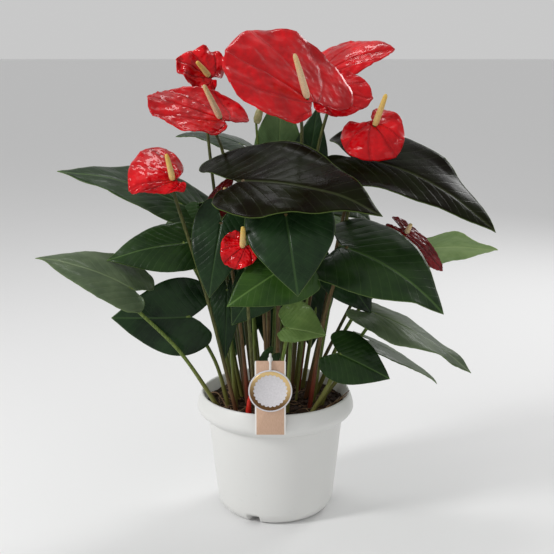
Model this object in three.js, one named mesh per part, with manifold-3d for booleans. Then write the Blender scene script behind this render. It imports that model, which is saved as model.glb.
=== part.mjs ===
// A flowering anthurium in a 17 cm nursery pot. Millimetres, +Z up.
// The origin is the centre of the pot's base, on the ground. -Y is the front.
import * as THREE from 'three';
import Module from 'manifold-3d';
import { mergeVertices } from 'three/addons/utils/BufferGeometryUtils.js';
import { ParametricGeometry } from 'three/addons/geometries/ParametricGeometry.js';

const wasm = await Module();
wasm.setup();

// Driving dimensions
const gap = 0.4;
const pot = {
  height: 132,
  rimRadius: 79.5,
  bandRadius: 85,
  bandBottom: 106,
  bodyTopRadius: 73,
  bodyRadius: 63.5,
  footRadius: 53.5,
  footHeight: 13,
  wall: 2,
  notches: 3,
  notchWidth: 12,
  notchHeight: 5,
  notchDepth: 3,
  floor: 5.5,
  notchStart: -113,
};
const soilTop = 120;
const footGap = 1.6;
const card = { width: 31, height: 78, thickness: 0.8, x: -5, y: -87.5, bottom: 114 };
const badge = { radius: 22, thickness: 1.6, z: 161 };
const pegRadius = 1.3;
const petioleRadius = 2;
const stalkRadius = 1.8;
const leafThickness = 0.9;
const spatheThickness = 1.1;
const sideDroop = 0.12;
const lobeStart = -0.06;
const bladeSlices = 22;
const bladeStacks = 5;
const rimShare = 0.4;
const stemGap = 1.2;

// Half outlines, from the notch at the stem round a lobe to the tip. The first number runs along
// the midrib in blade lengths, the second across it in half widths.
const leafOutline = [
  [-0.05, 0], [-0.2, 0.2], [-0.32, 0.48], [-0.24, 0.8], [0.02, 1], [0.35, 0.9], [0.7, 0.48], [1, 0],
];
const spatheOutline = [
  [-0.06, 0], [-0.28, 0.2], [-0.38, 0.5], [-0.22, 0.86], [0.12, 1], [0.5, 0.9], [0.84, 0.5], [1, 0],
];

// The largest spathe is fuller: its near half is widest halfway down, its far one by the stem.
const broadNear = [
  [-0.06, 0], [-0.1, 0.2], [-0.1, 0.42], [0, 0.68], [0.2, 0.9], [0.47, 1], [0.76, 0.8], [0.93, 0.45],
  [1, 0],
];
const broadFar = [
  [-0.06, 0], [-0.3, 0.2], [-0.44, 0.5], [-0.32, 0.8], [0, 1], [0.4, 1], [0.74, 0.78], [0.93, 0.42],
  [1, 0],
];

// Where each leaf is. `at` is the top of its stem, `tip` its point, and `face` the way its upper
// side looks. `halves` are its half widths, first the side that lies to the left as one looks from
// stem to tip with the face up, and `lobes` say how far the lobe on each side reaches back. `arch`
// is how far the midrib bows up, `foot` where the stem leaves the soil, `via` what it bends past.
const leaves = {
  crown: { at: [-30, -85, 372], tip: [100, -125, 350], halves: [70, 50], lobes: [1.5, 0.35],
    face: [0, -0.5, 0.87], arch: 0.06, foot: [-10, -16], via: [-8, -44, 270] },
  centre_hang: { at: [10, -110, 342], tip: [21, -144, 272], halves: [46, 40], lobes: [0.8, 0.8],
    face: [0, -0.9, 0.45], arch: 0.04, foot: [2, -28], via: [4, -62, 290] },
  front_bright: { at: [19, -102, 297], tip: [-46, -122, 257], halves: [36, 30], lobes: [0.3, 0.7],
    face: [-0.1, -0.9, 0.4], arch: 0.04, foot: [12, -38], via: [17, -46, 220] },
  right_hang: { at: [71, -74, 304], tip: [162, -112, 247], halves: [58, 50], lobes: [0.8, 0.2],
    face: [0.2, -0.6, 0.78], arch: 0.1, foot: [36, -26], via: [50, -40, 220] },
  right_top: { at: [87, -42, 389], tip: [218, -60, 315], halves: [66, 44], lobes: [0.75, 0.8],
    face: [0.2, -0.5, 0.85], arch: 0.1, foot: [36, 10], via: [64, -8, 290] },
  right_pale: { at: [158, 20, 284], tip: [240, 20, 281], halves: [42, 42], lobes: [1, 1],
    face: [0, 0.6, 0.8], arch: 0.06, foot: [43, 18], via: [90, 20, 215] },
  right_low: { at: [106, -30, 225], tip: [206, -35, 162], halves: [44, 40], lobes: [1, 0.8],
    face: [0.45, -0.15, 0.9], arch: 0.05, foot: [36, -44], via: [66, -44, 170] },
  right_thin: { at: [110, 15, 180], tip: [178, 8, 136], halves: [29, 28], lobes: [1, 1],
    face: [0.4, 0, 0.9], arch: 0.04, foot: [48, 0], via: [76, 10, 148] },
  pot_right: { at: [68, -50, 187], tip: [118, -58, 163], halves: [28, 28], lobes: [1, 1],
    face: [0.2, -0.9, 0.4], arch: 0.05, foot: [48, -22], via: [58, -28, 152] },
  young_pale: { at: [12, -88, 226], tip: [50, -94, 220], halves: [36, 14], lobes: [1, 0.6],
    face: [0, -0.7, 0.7], arch: 0.04, foot: [4, -50], via: [6, -66, 175] },
  left_low: { at: [-143, -75, 264], tip: [-236, -76, 294], halves: [35, 50], lobes: [0.5, 0.6],
    face: [0, -0.32, 0.95], arch: 0.07, foot: [-56, -36], via: [-98, -56, 192] },
  left_long: { at: [-100, 6, 336], tip: [-227, 0, 370], halves: [37, 50], lobes: [0.6, 1],
    face: [0.1, -0.35, 0.9], arch: 0.06, foot: [-36, 10], via: [-62, 10, 240] },
  left_mid: { at: [-94, -44, 303], tip: [-170, -51, 286], halves: [30, 26], lobes: [1, 0.8],
    face: [-0.3, -0.8, 0.5], arch: 0.08, foot: [-42, -8], via: [-64, -12, 220] },
  left_dark: { at: [-90, -40, 224], tip: [-168, -50, 226], halves: [41, 41], lobes: [1, 1],
    face: [-0.1, -1, 0.1], arch: 0.05, foot: [-50, -20], via: [-64, -20, 170] },
  dark_centre: { at: [-54, -62, 325], tip: [-66, -72, 252], halves: [28, 28], lobes: [1, 1],
    face: [-0.1, -1, 0.2], arch: 0.06, foot: [-28, -26], via: [-38, -40, 230] },
  back_left: { at: [-40, 48, 395], tip: [-108, 52, 402], halves: [32, 45], lobes: [1, 1],
    face: [-0.1, -0.1, 0.99], arch: 0.08, foot: [-20, 28], via: [-28, 40, 260] },
  back_right: { at: [58, 30, 336], tip: [100, -2, 318], halves: [32, 32], lobes: [0.8, 0.8],
    face: [0.1, -0.3, 0.95], arch: 0.06, foot: [24, 20], via: [40, 30, 240] },
};

// Where each flower is, said as for the leaves. `spike` is its spadix's length and `rise` the way
// that the spadix points. `outline` gives a fuller spathe two halves of its own.
const flowers = {
  main: { at: [30, -92, 450], tip: [-46, -98, 494], halves: [48, 70], lobes: [1, 1.2],
    outline: [broadNear, broadFar],
    face: [0.1, -0.62, 0.78], arch: 0.03, spike: 44, rise: [-0.3, -0.25, 0.92],
    foot: [2, -10], via: [26, -8, 385] },
  left: { at: [-54, -45, 428], tip: [-125, -48, 450], halves: [38, 36], lobes: [1, 1],
    outline: [broadNear, spatheOutline],
    face: [0, -0.5, 0.87], arch: 0.02, spike: 38, rise: [-0.42, -0.3, 0.86],
    foot: [-22, -10], via: [-50, 2, 362] },
  small: { at: [-68, 8, 467], tip: [-101, 4, 484], halves: [20, 28], lobes: [0.8, 1],
    face: [0.2, -0.85, 0.5], arch: 0.02, spike: 22, rise: [-0.55, -0.5, 0.65],
    foot: [-32, 6], via: [-64, 4, 350] },
  back_right: { at: [46, 50, 464], tip: [127, 50, 493], halves: [48, 26], lobes: [1, 0.6],
    face: [-0.1, -0.5, 0.87], arch: 0.1, spike: 20, rise: [0, -0.2, 0.95],
    foot: [10, 26], via: [28, 42, 330] },
  behind: { at: [56, -20, 452], tip: [98, -24, 446], halves: [30, 26], lobes: [1, 1],
    face: [0.2, -0.8, 0.6], arch: 0.04, spike: 16, rise: [0.1, -0.6, 0.8],
    foot: [16, 2], via: [38, 2, 355] },
  right: { at: [98, -44, 421], tip: [118, -62, 392], halves: [24, 38], lobes: [1.3, 1.5],
    face: [-0.2, -0.75, 0.6], arch: 0.1, spike: 34, rise: [0.26, -0.3, 0.92],
    foot: [32, 2], via: [72, -36, 404] },
  left_low: { at: [-100, -66, 370], tip: [-142, -78, 362], halves: [15, 54], lobes: [0.6, 1],
    face: [-0.1, -0.65, 0.75], arch: 0.06, spike: 28, rise: [-0.2, -0.3, 0.93],
    foot: [-40, -44], via: [-68, -58, 245] },
  low_centre: { at: [-31, -104, 311], tip: [-49, -110, 296], halves: [19, 19], lobes: [1, 1],
    face: [-0.3, -0.9, 0.3], arch: 0.03, spike: 24, rise: [0, -0.45, 0.9],
    foot: [-20, -46], via: [-26, -78, 225] },
  shade_left: { at: [-50, -30, 350], tip: [-78, -35, 312], halves: [15, 15], lobes: [1, 1],
    face: [-0.3, -0.9, 0.4], arch: 0.04, spike: 14, rise: [-0.1, -0.8, 0.6], foot: [-30, -14],
    via: [-44, -12, 250] },
  shade_right: { at: [134, -30, 311], tip: [172, -36, 272], halves: [16, 16], lobes: [1, 1],
    face: [0.3, -0.6, 0.75], arch: 0.04, spike: 14, rise: [0.2, -0.6, 0.75], foot: [34, 26],
    via: [92, 20, 240] },
};

const group = new THREE.Group();
const vec = (p) => new THREE.Vector3(...p);

// Drops normals and uvs, so that shared corners merge and the shape is one closed surface.
function closed(geometry) {
  const bare = geometry.clone();
  bare.deleteAttribute('normal');
  bare.deleteAttribute('uv');
  return mergeVertices(bare, 1e-3);
}

// A closed geometry as a solid that can be joined and cut.
function solid(geometry) {
  const merged = closed(geometry);
  const corners = merged.index.array;
  const kept = [];
  for (let i = 0; i < corners.length; i += 3) {
    const [a, b, c] = [corners[i], corners[i + 1], corners[i + 2]];
    if (a !== b && b !== c && c !== a) kept.push(a, b, c);
  }
  return new wasm.Manifold(new wasm.Mesh({
    numProp: 3,
    vertProperties: new Float32Array(merged.attributes.position.array),
    triVerts: new Uint32Array(kept),
  }));
}

function geometryOf(manifold) {
  const mesh = manifold.getMesh();
  const geometry = new THREE.BufferGeometry();
  geometry.setAttribute('position', new THREE.BufferAttribute(mesh.vertProperties, 3));
  geometry.setIndex(new THREE.BufferAttribute(mesh.triVerts, 1));
  return geometry;
}

function addMesh(name, geometry, color, roughness) {
  const material = new THREE.MeshStandardMaterial({ color, roughness, metalness: 0 });
  const mesh = new THREE.Mesh(geometry, material);
  mesh.name = name;
  group.add(mesh);
  return mesh;
}

// Turns a solid of revolution's axis from three.js's +Y to +Z.
function lathe(points, sides) {
  const profile = points.map(([radius, height]) => new THREE.Vector2(radius, height));
  return new THREE.LatheGeometry(profile, sides).rotateX(Math.PI / 2);
}

function tube(points, radius, sides, steps) {
  const path = new THREE.CatmullRomCurve3(points, false, 'centripetal');
  const section = new THREE.Shape();
  for (let i = 0; i < sides; i += 1) {
    const angle = (i / sides) * 2 * Math.PI;
    const x = radius * Math.cos(angle);
    const y = radius * Math.sin(angle);
    if (i === 0) section.moveTo(x, y);
    else section.lineTo(x, y);
  }
  return new THREE.ExtrudeGeometry(section, { steps, extrudePath: path, curveSegments: 1 });
}

// The three directions of a blade: along the midrib, across it, and out of its upper side.
function bladeFrame({ at, tip, face }) {
  const along = vec(tip).sub(vec(at));
  const length = along.length();
  along.normalize();
  const up = vec(face);
  up.addScaledVector(along, -up.dot(along)).normalize();
  const across = new THREE.Vector3().crossVectors(up, along);
  return { origin: vec(at), along, across, up, length };
}

// A thin closed blade: rings open out from the stem to the outline on the upper side, step down
// over the edge, and shrink to the stem again on the lower one.
function blade(spec, [first, second], thickness) {
  const { origin, along, across, up, length } = bladeFrame(spec);
  const out = first.map(([u, w]) => new THREE.Vector3(u, w, 0));
  const back = second.map(([u, w]) => new THREE.Vector3(u, -w, 0)).reverse();
  const firstSide = new THREE.CatmullRomCurve3(out, false, 'centripetal');
  const secondSide = new THREE.CatmullRomCurve3(back, false, 'centripetal');
  const surface = (u, v, target) => {
    const edge = u < 0.5 ? firstSide.getPoint(2 * u) : secondSide.getPoint(2 * u - 1);
    const isTop = v < 0.5;
    const reach = Math.min(1, (isTop ? v : 1 - v) / rimShare);
    const w = edge.y * reach;
    const lobe = w > 0 ? spec.lobes[0] : spec.lobes[1];
    const a = reach * (edge.x < lobeStart ? lobeStart + (edge.x - lobeStart) * lobe : edge.x);
    const skin = (thickness / 2) * (isTop ? 1 : -1);
    const half = w > 0 ? spec.halves[0] : spec.halves[1];
    const lift = spec.arch * length * 4 * a * (1 - a) - sideDroop * half * w * w;
    target.copy(origin)
      .addScaledVector(along, a * length)
      .addScaledVector(across, w * half)
      .addScaledVector(up, lift + skin);
  };
  return new ParametricGeometry(surface, bladeSlices, bladeStacks);
}

// The way a stem goes from the soil to just under a blade, which it meets square on.
function stemPath(spec, end) {
  const { origin, up } = bladeFrame(spec);
  const lead = Math.min(18, origin.z * 0.06);
  return [
    new THREE.Vector3(...spec.foot, soilTop + footGap),
    vec(spec.via),
    origin.clone().addScaledVector(up, -lead),
    origin.clone().addScaledVector(up, end),
  ];
}

function makePot() {
  const inner = pot.wall;
  const profile = [
    [0, 0],
    [pot.footRadius, 0],
    [pot.footRadius + 6, 3],
    [pot.bodyRadius, pot.footHeight],
    [pot.bodyTopRadius, pot.bandBottom - 1],
    [pot.bodyTopRadius + 3, pot.bandBottom],
    [pot.bandRadius - 2.5, pot.bandBottom + 3],
    [pot.bandRadius, pot.bandBottom + 9],
    [pot.bandRadius - 1, pot.bandBottom + 16],
    [pot.rimRadius + 1.5, pot.height - 1],
    [pot.rimRadius, pot.height],
    [pot.rimRadius - inner, pot.height - 1],
    [pot.bodyTopRadius - inner, pot.bandBottom - 1],
    [pot.bodyRadius - inner, pot.footHeight],
    [pot.footRadius + 2, pot.floor],
    [0, pot.floor],
  ];
  let shell = solid(lathe(profile, 48));
  for (let i = 0; i < pot.notches; i += 1) {
    const angle = THREE.MathUtils.degToRad(pot.notchStart + (i * 360) / pot.notches);
    const reach = 20;
    const notch = new THREE.BoxGeometry(reach, pot.notchWidth, 2 * pot.notchHeight);
    notch.translate(pot.footRadius + pot.notchDepth + reach / 2, 0, 0);
    notch.rotateZ(angle);
    shell = shell.subtract(solid(notch));
  }
  addMesh('pot', geometryOf(shell), '#eeeeec', 0.45);
}

function makeSoil() {
  const clear = pot.wall + gap;
  const slope = (pot.rimRadius - pot.bodyTopRadius) / (pot.height - pot.bandBottom);
  const topRadius = pot.bodyTopRadius - clear + slope * (soilTop - pot.bandBottom);
  const profile = [
    [0, pot.floor + gap],
    [pot.footRadius + 1, pot.floor + gap],
    [pot.bodyRadius - clear, pot.footHeight + 1],
    [pot.bodyTopRadius - clear - 0.3, pot.bandBottom - 1],
    [topRadius - 0.3, soilTop],
    [0, soilTop],
  ];
  addMesh('soil', lathe(profile, 48), '#2b1d15', 0.95);
}

function makeCard() {
  const sheet = new THREE.BoxGeometry(card.width, card.thickness, card.height);
  sheet.translate(card.x, card.y, card.bottom + card.height / 2);
  addMesh('plant_card', sheet, '#c9a58c', 0.7);

  const disc = new THREE.CylinderGeometry(badge.radius, badge.radius, badge.thickness, 40);
  const front = card.y - card.thickness / 2 - gap;
  disc.translate(card.x, front - badge.thickness / 2, badge.z);
  addMesh('badge', disc, '#a9854f', 0.4);

  const hook = front - pegRadius;
  const top = card.bottom + card.height;
  const pin = tube([
    vec([card.x, hook, badge.z + badge.radius + 1]),
    vec([card.x, hook, top + 1]),
    vec([card.x, card.y, top + 4]),
    vec([card.x, card.y + 4, top]),
    vec([card.x, -68, soilTop + gap]),
  ], pegRadius, 8, 20);
  addMesh('peg', pin, '#f4f3ef', 0.35);
}

function makeLeaves() {
  const colours = { young_pale: '#7d9a4b', crown: '#2b1f1c', right_pale: '#a9b98a' };
  for (const [name, spec] of Object.entries(leaves)) {
    const end = -leafThickness / 2 - stemGap;
    const color = colours[name] ?? '#22351f';
    const leaf = solid(blade(spec, [leafOutline, leafOutline], leafThickness));
    addMesh(`leaf_${name}`, geometryOf(leaf), color, 0.3);
    addMesh(`petiole_${name}`, tube(stemPath(spec, end), petioleRadius, 6, 10), '#5c6b33', 0.5);
  }
}

// A spathe with the hole that its stalk passes through, and the stalk that ends in the spadix.
function makeFlowers() {
  for (const [name, spec] of Object.entries(flowers)) {
    const { origin } = bladeFrame(spec);
    const thick = 2.4 + spec.spike * 0.022;
    const spikeProfile = [
      [0, -1], [thick * 0.8, 0], [thick, spec.spike * 0.2], [thick * 0.8, spec.spike * 0.7],
      [thick * 0.5, spec.spike * 0.94], [0, spec.spike],
    ];
    const rise = vec(spec.rise).normalize();
    const turn = new THREE.Quaternion().setFromUnitVectors(new THREE.Vector3(0, 0, 1), rise);
    const spadix = lathe(spikeProfile, 10).applyQuaternion(turn);
    spadix.translate(origin.x, origin.y, origin.z);

    const hole = new THREE.CylinderGeometry(thick + 1.2, thick + 1.2, 20, 12).rotateX(Math.PI / 2);
    hole.applyQuaternion(turn).translate(origin.x, origin.y, origin.z);
    const outline = spec.outline ?? [spatheOutline, spatheOutline];
    const bract = solid(blade(spec, outline, spatheThickness)).subtract(solid(hole));
    addMesh(`spathe_${name}`, geometryOf(bract), '#b3121a', 0.2);

    const stem = solid(tube(stemPath(spec, 0.5), stalkRadius, 6, 10)).add(solid(spadix));
    addMesh(`flower_stalk_${name}`, geometryOf(stem), '#d9c9a0', 0.55);
  }
}

// A bright young sheath that comes up beside the stems.
function makeSheath() {
  const sheath = lathe([[0, 0], [2.6, 0], [3, 9], [1.8, 20], [0, 27]], 10);
  sheath.translate(-28, -56, soilTop + gap);
  addMesh('young_sheath', sheath, '#b01f1c', 0.4);
}

makePot();
makeSoil();
makeCard();
makeLeaves();
makeFlowers();
makeSheath();

export default group;
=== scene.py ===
import math
import random

import bmesh
import bpy
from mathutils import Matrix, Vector, noise


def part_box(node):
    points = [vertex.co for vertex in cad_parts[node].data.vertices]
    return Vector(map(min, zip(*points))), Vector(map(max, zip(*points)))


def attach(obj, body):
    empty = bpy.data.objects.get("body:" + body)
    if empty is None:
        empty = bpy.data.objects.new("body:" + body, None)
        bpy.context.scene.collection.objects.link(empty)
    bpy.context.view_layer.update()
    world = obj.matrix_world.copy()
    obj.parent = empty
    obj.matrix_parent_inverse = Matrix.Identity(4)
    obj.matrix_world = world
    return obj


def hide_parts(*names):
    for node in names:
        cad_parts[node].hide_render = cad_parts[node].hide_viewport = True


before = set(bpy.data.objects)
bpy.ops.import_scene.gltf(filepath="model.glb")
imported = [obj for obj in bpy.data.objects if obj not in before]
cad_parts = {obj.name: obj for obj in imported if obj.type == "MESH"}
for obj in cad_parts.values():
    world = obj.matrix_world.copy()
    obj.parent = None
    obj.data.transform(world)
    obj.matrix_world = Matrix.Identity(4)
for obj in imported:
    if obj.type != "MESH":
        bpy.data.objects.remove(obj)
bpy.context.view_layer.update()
mm = 0.001
print("frame loaded with", len(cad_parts), "nodes")


# a shader socket that can stand in a Python expression
class Wire:
    def __init__(self, tree, socket=None):
        self.tree = tree
        self.socket = socket

    # adds a node: its settings first, then the values or wires of its sockets
    def node(self, kind, settings=None, sockets=None, out=0):
        made = self.tree.nodes.new(kind)
        for key, value in (settings or {}).items():
            setattr(made, key, value)
        for key, value in (sockets or {}).items():
            if isinstance(value, Wire):
                self.tree.links.new(value.socket, made.inputs[key])
            else:
                made.inputs[key].default_value = value
        return Wire(self.tree, made.outputs[out])

    def sum(self, operation, first, second=0.0):
        return self.node("ShaderNodeMath", {"operation": operation}, {0: first, 1: second})

    def __add__(self, other):
        return self.sum("ADD", self, other)

    def __radd__(self, other):
        return self.sum("ADD", other, self)

    def __sub__(self, other):
        return self.sum("SUBTRACT", self, other)

    def __rsub__(self, other):
        return self.sum("SUBTRACT", other, self)

    def __mul__(self, other):
        return self.sum("MULTIPLY", self, other)

    def __rmul__(self, other):
        return self.sum("MULTIPLY", other, self)

    def __pow__(self, other):
        return self.sum("POWER", self, other)

    def __abs__(self):
        return self.sum("ABSOLUTE", self)

    def cosine(self):
        return self.sum("COSINE", self)

    def sine(self):
        return self.sum("SINE", self)

    def atLeast(self, other):
        return self.sum("MAXIMUM", self, other)

    # 0 below low, 1 above high, smooth between
    def between(self, low, high):
        return self.node("ShaderNodeMapRange", {"interpolation_type": "SMOOTHSTEP"},
                         {0: self, 1: low, 2: high, 3: 0.0, 4: 1.0})

    def part(self, index):
        return self.node("ShaderNodeSeparateXYZ", None, {0: self}, out=index)

    def blend(self, first, second):
        colours = {6: first, 7: second}
        for key, value in colours.items():
            if not isinstance(value, Wire):
                colours[key] = (*value, 1.0)
        return self.node("ShaderNodeMix", {"data_type": "RGBA"}, {0: self, **colours}, out=2)

    def mottle(self, place, scale, detail=3.0, roughness=0.55):
        return self.node("ShaderNodeTexNoise", None,
                         {"Vector": place, "Scale": scale, "Detail": detail, "Roughness": roughness})


# a material with its shader constants; paint gives back what varies over the surface
def finish(name, constants, paint):
    material = bpy.data.materials.new(name)
    material.use_nodes = True
    tree = material.node_tree
    shader = tree.nodes["Principled BSDF"]
    for key, value in constants.items():
        shader.inputs[key].default_value = (*value, 1.0) if isinstance(value, tuple) else value
    graph = Wire(tree)
    for key, wire in paint(graph).items():
        if key == "Height":
            strength, distance, height = wire
            bump = graph.node("ShaderNodeBump", None,
                              {"Strength": strength, "Distance": distance, "Height": height})
            tree.links.new(bump.socket, shader.inputs["Normal"])
        else:
            tree.links.new(wire.socket, shader.inputs[key])
    return material


def objectPlace(graph):
    return graph.node("ShaderNodeTexCoord", None, None, out=3)


# where a point lies on its blade: along the midrib, across it, and out towards the edge
def bladePlace(graph):
    place = graph.node("ShaderNodeAttribute", {"attribute_name": "bladePlace"}, None, out=1)
    return place.part(0), place.part(1), place.part(2)


leafLook = {"veins": 9, "veinLean": 0.55, "veinCurl": 0.16, "veinWidth": 26.0}
spatheLook = {"veins": 7.0, "veinLean": 0.55}


def leafVeins(along, across):
    lean = along - abs(across) * leafLook["veinLean"] + across * across * leafLook["veinCurl"]
    rows = (lean * (2 * math.pi * leafLook["veins"])).cosine().atLeast(0.0) ** leafLook["veinWidth"]
    midrib = 1.0 - abs(across).between(0.012, 0.035)
    return rows, midrib


def leafPaint(deep, fresh, vein, edge, shine):
    def paint(graph):
        along, across, reach = bladePlace(graph)
        place = objectPlace(graph)
        rows, midrib = leafVeins(along, across)
        fine = graph.mottle(place, 420.0, 4.0, 0.6)
        cloud = graph.mottle(place, 26.0, 3.0, 0.6)
        body = cloud.between(0.32, 0.72).blend(deep, fresh)
        body = (rows * 0.14).blend(body, vein)
        body = (midrib * 0.6).blend(body, vein)
        rim = reach.between(0.985, 0.998)
        body = (rim * 0.45).blend(body, edge)
        patch = graph.mottle(place, 9.0, 2.0, 0.5)
        rough = cloud * 0.16 + fine * 0.06 + patch * 0.12 + shine
        height = fine * 0.25 + cloud * 0.7 - rows * 0.5 - midrib * 0.6
        return {"Base Color": body, "Roughness": rough, "Height": (0.35, 0.0008, height)}
    return paint


def spathePaint(deep, bright, shine):
    def paint(graph):
        along, across, reach = bladePlace(graph)
        place = objectPlace(graph)
        angle = graph.sum("ARCTAN2", across, along + 0.12)
        curve = angle + angle.sine() * reach * spatheLook["veinLean"]
        rows = (curve * spatheLook["veins"]).cosine().atLeast(0.0) ** 14.0
        cells = graph.node("ShaderNodeTexVoronoi", {"feature": "SMOOTH_F1"},
                           {"Vector": place, "Scale": 130.0, "Smoothness": 0.6})
        cloud = graph.mottle(place, 40.0, 3.0, 0.5)
        fine = graph.mottle(place, 700.0, 3.0, 0.6)
        body = cloud.between(0.3, 0.75).blend(deep, bright)
        body = (rows * 0.16).blend(body, deep)
        rough = cloud * 0.1 + fine * 0.06 + shine
        height = cells * 1.0 + cloud * 1.6 + fine * 0.05 - rows * 0.9
        return {"Base Color": body, "Roughness": rough, "Height": (0.75, 0.0022, height)}
    return paint


def budPaint(deep, bright):
    def paint(graph):
        cloud = graph.mottle(objectPlace(graph), 240.0)
        return {"Base Color": cloud.between(0.3, 0.7).blend(deep, bright), "Roughness": cloud * 0.1 + 0.28,
                "Height": (0.3, 0.0006, cloud)}
    return paint


leafShader = {"Coat Weight": 0.08, "Coat Roughness": 0.12, "Specular IOR Level": 0.14}
youngShader = {"Coat Weight": 0.015, "Coat Roughness": 0.1, "Specular IOR Level": 0.04}
underShader = {"Coat Weight": 0.0, "Specular IOR Level": 0.2}
spatheShader = {"Coat Weight": 0.4, "Coat Roughness": 0.03, "Specular IOR Level": 0.08}
rimGreen = (0.16, 0.24, 0.06)
leafFinishes = {
    "dark": finish("leafDark", leafShader, leafPaint(
        (0.007, 0.018, 0.007), (0.016, 0.042, 0.013), (0.045, 0.09, 0.028), rimGreen, 0.12)),
    "green": finish("leafGreen", leafShader, leafPaint(
        (0.009, 0.025, 0.006), (0.02, 0.05, 0.01), (0.08, 0.15, 0.04), rimGreen, 0.14)),
    "bright": finish("leafBright", leafShader, leafPaint(
        (0.014, 0.042, 0.006), (0.034, 0.085, 0.01), (0.12, 0.22, 0.05), rimGreen, 0.24)),
    "young": finish("leafYoung", youngShader, leafPaint(
        (0.0055, 0.0035, 0.0015), (0.008, 0.0105, 0.002), (0.05, 0.06, 0.025), rimGreen, 0.1)),
    "pale": finish("leafPale", underShader, leafPaint(
        (0.16, 0.26, 0.08), (0.27, 0.38, 0.15), (0.36, 0.48, 0.2), (0.3, 0.4, 0.14), 0.42)),
    # leaf green greyed and lightened: painted sheen, the glare and silvery patches on these leaves put into
    # their base colour
    "dusty": finish("leafPaintedGlare", leafShader, leafPaint(
        (0.06, 0.09, 0.045), (0.12, 0.165, 0.085), (0.2, 0.26, 0.13), rimGreen, 0.3)),
    "lime": finish("leafLime", leafShader, leafPaint(
        (0.08, 0.14, 0.035), (0.14, 0.22, 0.06), (0.25, 0.36, 0.12), rimGreen, 0.32)),
    "under": finish("leafUnder", underShader, leafPaint(
        (0.07, 0.13, 0.045), (0.12, 0.2, 0.075), (0.2, 0.3, 0.11), rimGreen, 0.45)),
}
spatheFinishes = {
    "red": finish("spatheRed", spatheShader, spathePaint((0.42, 0.0, 0.003), (0.76, 0.001, 0.006), 0.24)),
    "shade": finish("spatheShade", spatheShader, spathePaint(
        (0.12, 0.002, 0.004), (0.24, 0.004, 0.007), 0.2)),
    # spathe underside: the red darkened to about a third of the top's, painted shade
    "under": finish("spatheUnderPaintedShade", underShader, spathePaint(
        (0.13, 0.004, 0.007), (0.24, 0.01, 0.014), 0.35)),
    "bud": finish("spatheBud", spatheShader, budPaint((0.5, 0.01, 0.008), (0.66, 0.04, 0.02))),
    "furled": finish("spatheFurled", underShader, budPaint((0.3, 0.3, 0.12), (0.46, 0.4, 0.2))),
}


def stemPaint(low, high, foot):
    def paint(graph):
        place = objectPlace(graph)
        height = place.part(2)
        streak = graph.mottle(graph.node("ShaderNodeMapping", None,
                                         {0: place, 3: (900.0, 900.0, 60.0)}), 1.0, 3.0, 0.6)
        dots = graph.mottle(place, 900.0, 2.0, 0.5)
        body = streak.between(0.35, 0.7).blend(low, high)
        body = (1.0 - height.between(0.12, 0.2)).blend(body, foot)
        return {"Base Color": body, "Roughness": streak * 0.2 + 0.3,
                "Height": (0.3, 0.0006, streak + dots * 0.6)}
    return paint


stemFinishes = {
    "green": finish("stemGreen", leafShader, stemPaint(
        (0.07, 0.11, 0.02), (0.19, 0.26, 0.06), (0.16, 0.15, 0.04))),
    "brown": finish("stemBrown", leafShader, stemPaint(
        (0.07, 0.045, 0.018), (0.15, 0.1, 0.04), (0.2, 0.035, 0.022))),
    "stalk": finish("stalkOlive", leafShader, stemPaint(
        (0.045, 0.05, 0.016), (0.11, 0.115, 0.035), (0.13, 0.06, 0.03))),
    "lime": finish("stemLime", leafShader, stemPaint(
        (0.2, 0.24, 0.06), (0.34, 0.38, 0.12), (0.3, 0.32, 0.1))),
}


# on a spadix the first number of bladePlace runs from its foot to its tip
def spadixPaint(foot, tip):
    def paint(graph):
        along, across, reach = bladePlace(graph)
        place = objectPlace(graph)
        grain = graph.node("ShaderNodeTexVoronoi", None, {"Vector": place, "Scale": 900.0})
        cloud = graph.mottle(place, 300.0)
        body = along.between(0.35, 1.0).blend(foot, tip)
        body = (cloud * 0.3).blend(body, (0.62, 0.45, 0.24))
        body = (grain.between(0.25, 0.6) * 0.35).blend(body, (0.5, 0.34, 0.16))
        return {"Base Color": body, "Roughness": cloud * 0.2 + 0.42,
                "Height": (0.8, 0.0005, 1.0 - grain)}
    return paint


spadixShader = {"Specular IOR Level": 0.4, "Subsurface Weight": 0.08}
spadixFinishes = {
    "cream": finish("spadixCream", spadixShader, spadixPaint((0.78, 0.6, 0.4), (0.86, 0.62, 0.3))),
    "yellow": finish("spadixYellow", spadixShader, spadixPaint((0.82, 0.56, 0.18), (0.88, 0.56, 0.06))),
}


def potPaint(graph):
    place = objectPlace(graph)
    cloud = graph.mottle(place, 14.0)
    fine = graph.mottle(place, 500.0, 4.0, 0.6)
    scuff = graph.mottle(place, 90.0, 5.0, 0.7)
    body = scuff.between(0.62, 0.8).blend((0.72, 0.72, 0.7), (0.64, 0.64, 0.62))
    return {"Base Color": body, "Roughness": cloud * 0.12 + fine * 0.08 + 0.3,
            "Height": (0.12, 0.0004, fine + cloud * 0.4)}


def soilPaint(graph):
    place = objectPlace(graph)
    clods = graph.mottle(place, 160.0, 6.0, 0.7)
    grains = graph.mottle(place, 800.0, 4.0, 0.7)
    body = clods.between(0.3, 0.7).blend((0.012, 0.006, 0.004), (0.07, 0.036, 0.02))
    body = grains.between(0.66, 0.78).blend(body, (0.13, 0.08, 0.045))
    return {"Base Color": body, "Roughness": grains * 0.2 + 0.72,
            "Height": (1.0, 0.002, clods + grains * 0.5)}


def fibrePaint(graph):
    place = objectPlace(graph)
    tone = graph.mottle(place, 60.0)
    body = tone.between(0.3, 0.7).blend((0.09, 0.045, 0.022), (0.34, 0.21, 0.11))
    return {"Base Color": body, "Roughness": tone * 0.2 + 0.6, "Height": (0.5, 0.0005, tone)}


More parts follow.
